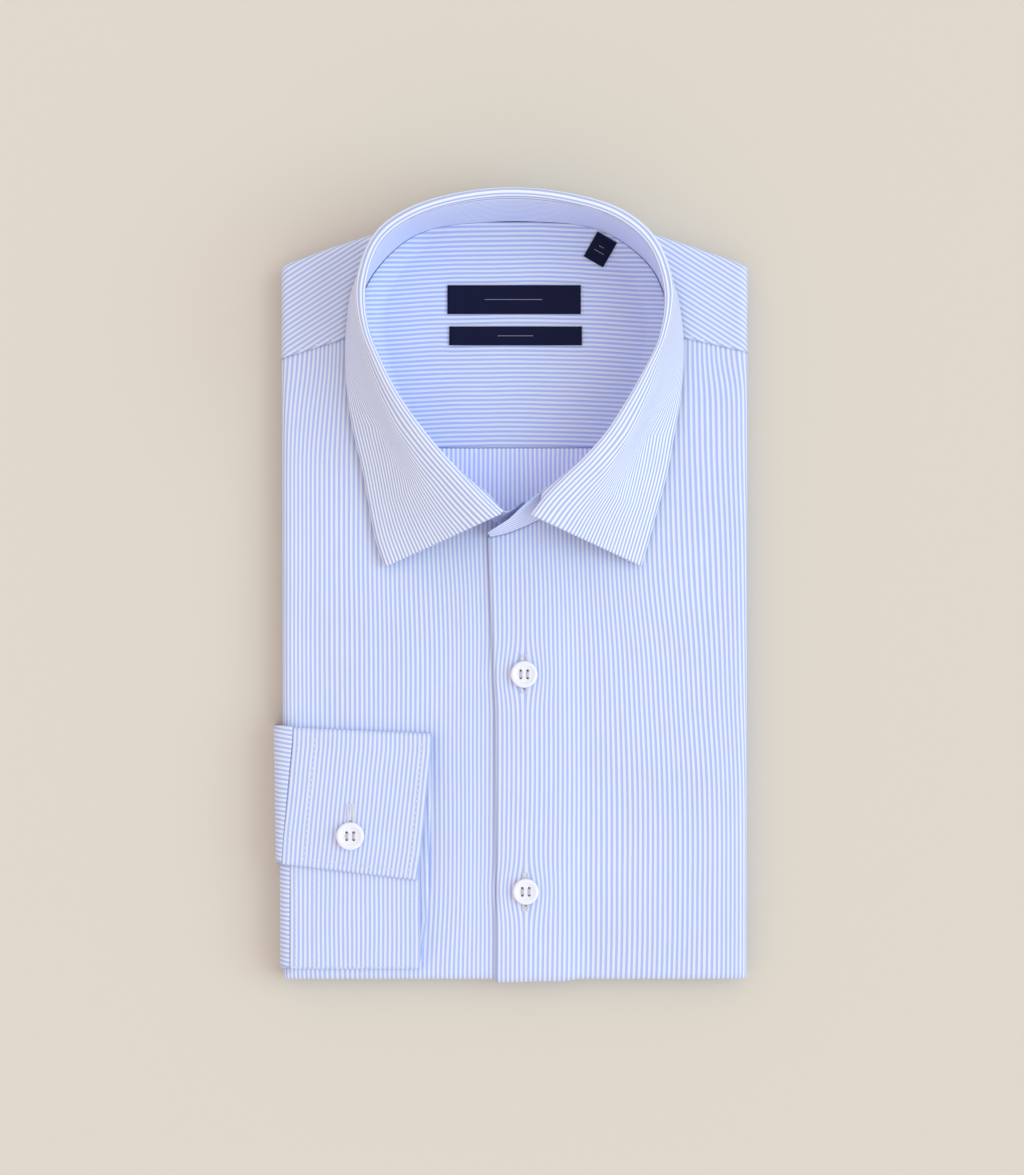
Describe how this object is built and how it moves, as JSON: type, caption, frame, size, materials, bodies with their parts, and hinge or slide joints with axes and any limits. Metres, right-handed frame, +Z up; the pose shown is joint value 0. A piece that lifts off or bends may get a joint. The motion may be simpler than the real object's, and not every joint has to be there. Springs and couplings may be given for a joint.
{
  "type": "folded long sleeve dress shirt",
  "caption": "Long sleeve dress shirt folded flat on its back, with a standing collar, an overlapping buttoned front and one buttoned cuff brought round onto the front.",
  "frame": {"origin": "middle of the flat underside that the fold lies on", "axes": "+Y towards the collar, +Z up from the surface it lies on, +X to the right as the front is looked down on"},
  "size_m": [0.2089, 0.3456, 0.0485],
  "materials": {
    "striped_cloth": "fine woven cotton with a narrow light blue and white stripe",
    "navy_satin": "woven navy satin",
    "pearl": "glossy pearl white"
  },
  "bodies": {
    "root": {"folded_core": "striped_cloth", "front_right": "striped_cloth", "front_left": "striped_cloth", "yoke_outer": "striped_cloth", "yoke_inner": "striped_cloth", "back": "striped_cloth", "collar_band": "striped_cloth", "collar_leaf": "striped_cloth", "cuff": "striped_cloth", "sleeve_over": "striped_cloth", "sleeve_under": "striped_cloth", "label_upper": "navy_satin", "label_lower": "navy_satin", "size_tab": "navy_satin", "button_upper": "pearl", "button_lower": "pearl", "button_cuff": "pearl"}
  },
  "joints": []
}
